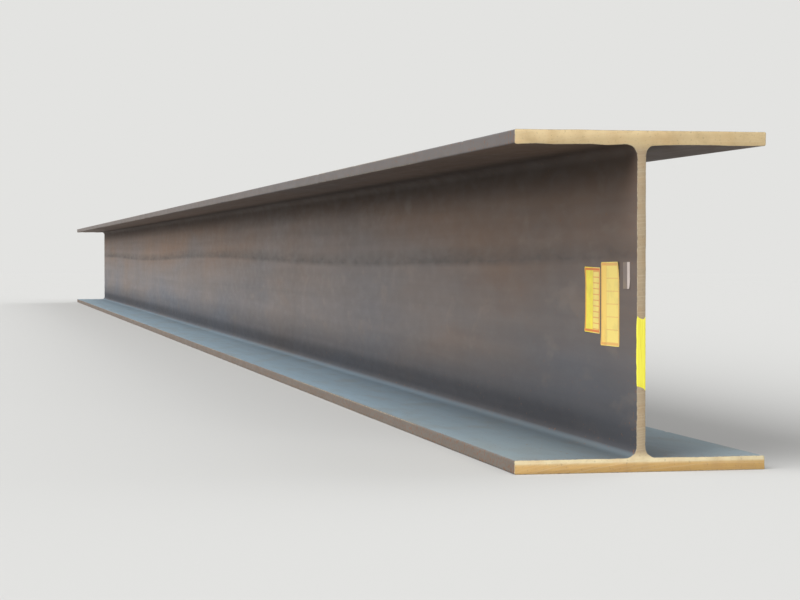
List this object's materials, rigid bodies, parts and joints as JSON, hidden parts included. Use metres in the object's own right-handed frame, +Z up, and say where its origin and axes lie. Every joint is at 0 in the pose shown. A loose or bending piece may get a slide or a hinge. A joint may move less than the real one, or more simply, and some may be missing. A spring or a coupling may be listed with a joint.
{
  "type": "steel h-beam",
  "caption": "Hot-rolled steel H-beam with wide parallel flanges and filleted roots, sawn square at both ends, lying on its bottom flange, with blank paper labels near one end.",
  "frame": {"origin": "centre of the underside of the bottom flange, at the middle of the beam's length", "axes": "+X along the beam towards the labelled end, +Y across the flanges, away from the labelled side of the web, +Z up through the web"},
  "size_m": [9, 0.3, 0.39],
  "materials": {
    "rolled_steel": "hot-rolled mill scale, grey-brown with thin rust, and bare sawn ends",
    "yellow_paper": "matt yellow label paper",
    "white_paper": "matt off-white label paper"
  },
  "bodies": {
    "root": {"h_beam": "rolled_steel", "label_large": "yellow_paper", "label_small": "yellow_paper", "tag_white": "white_paper"}
  },
  "joints": []
}
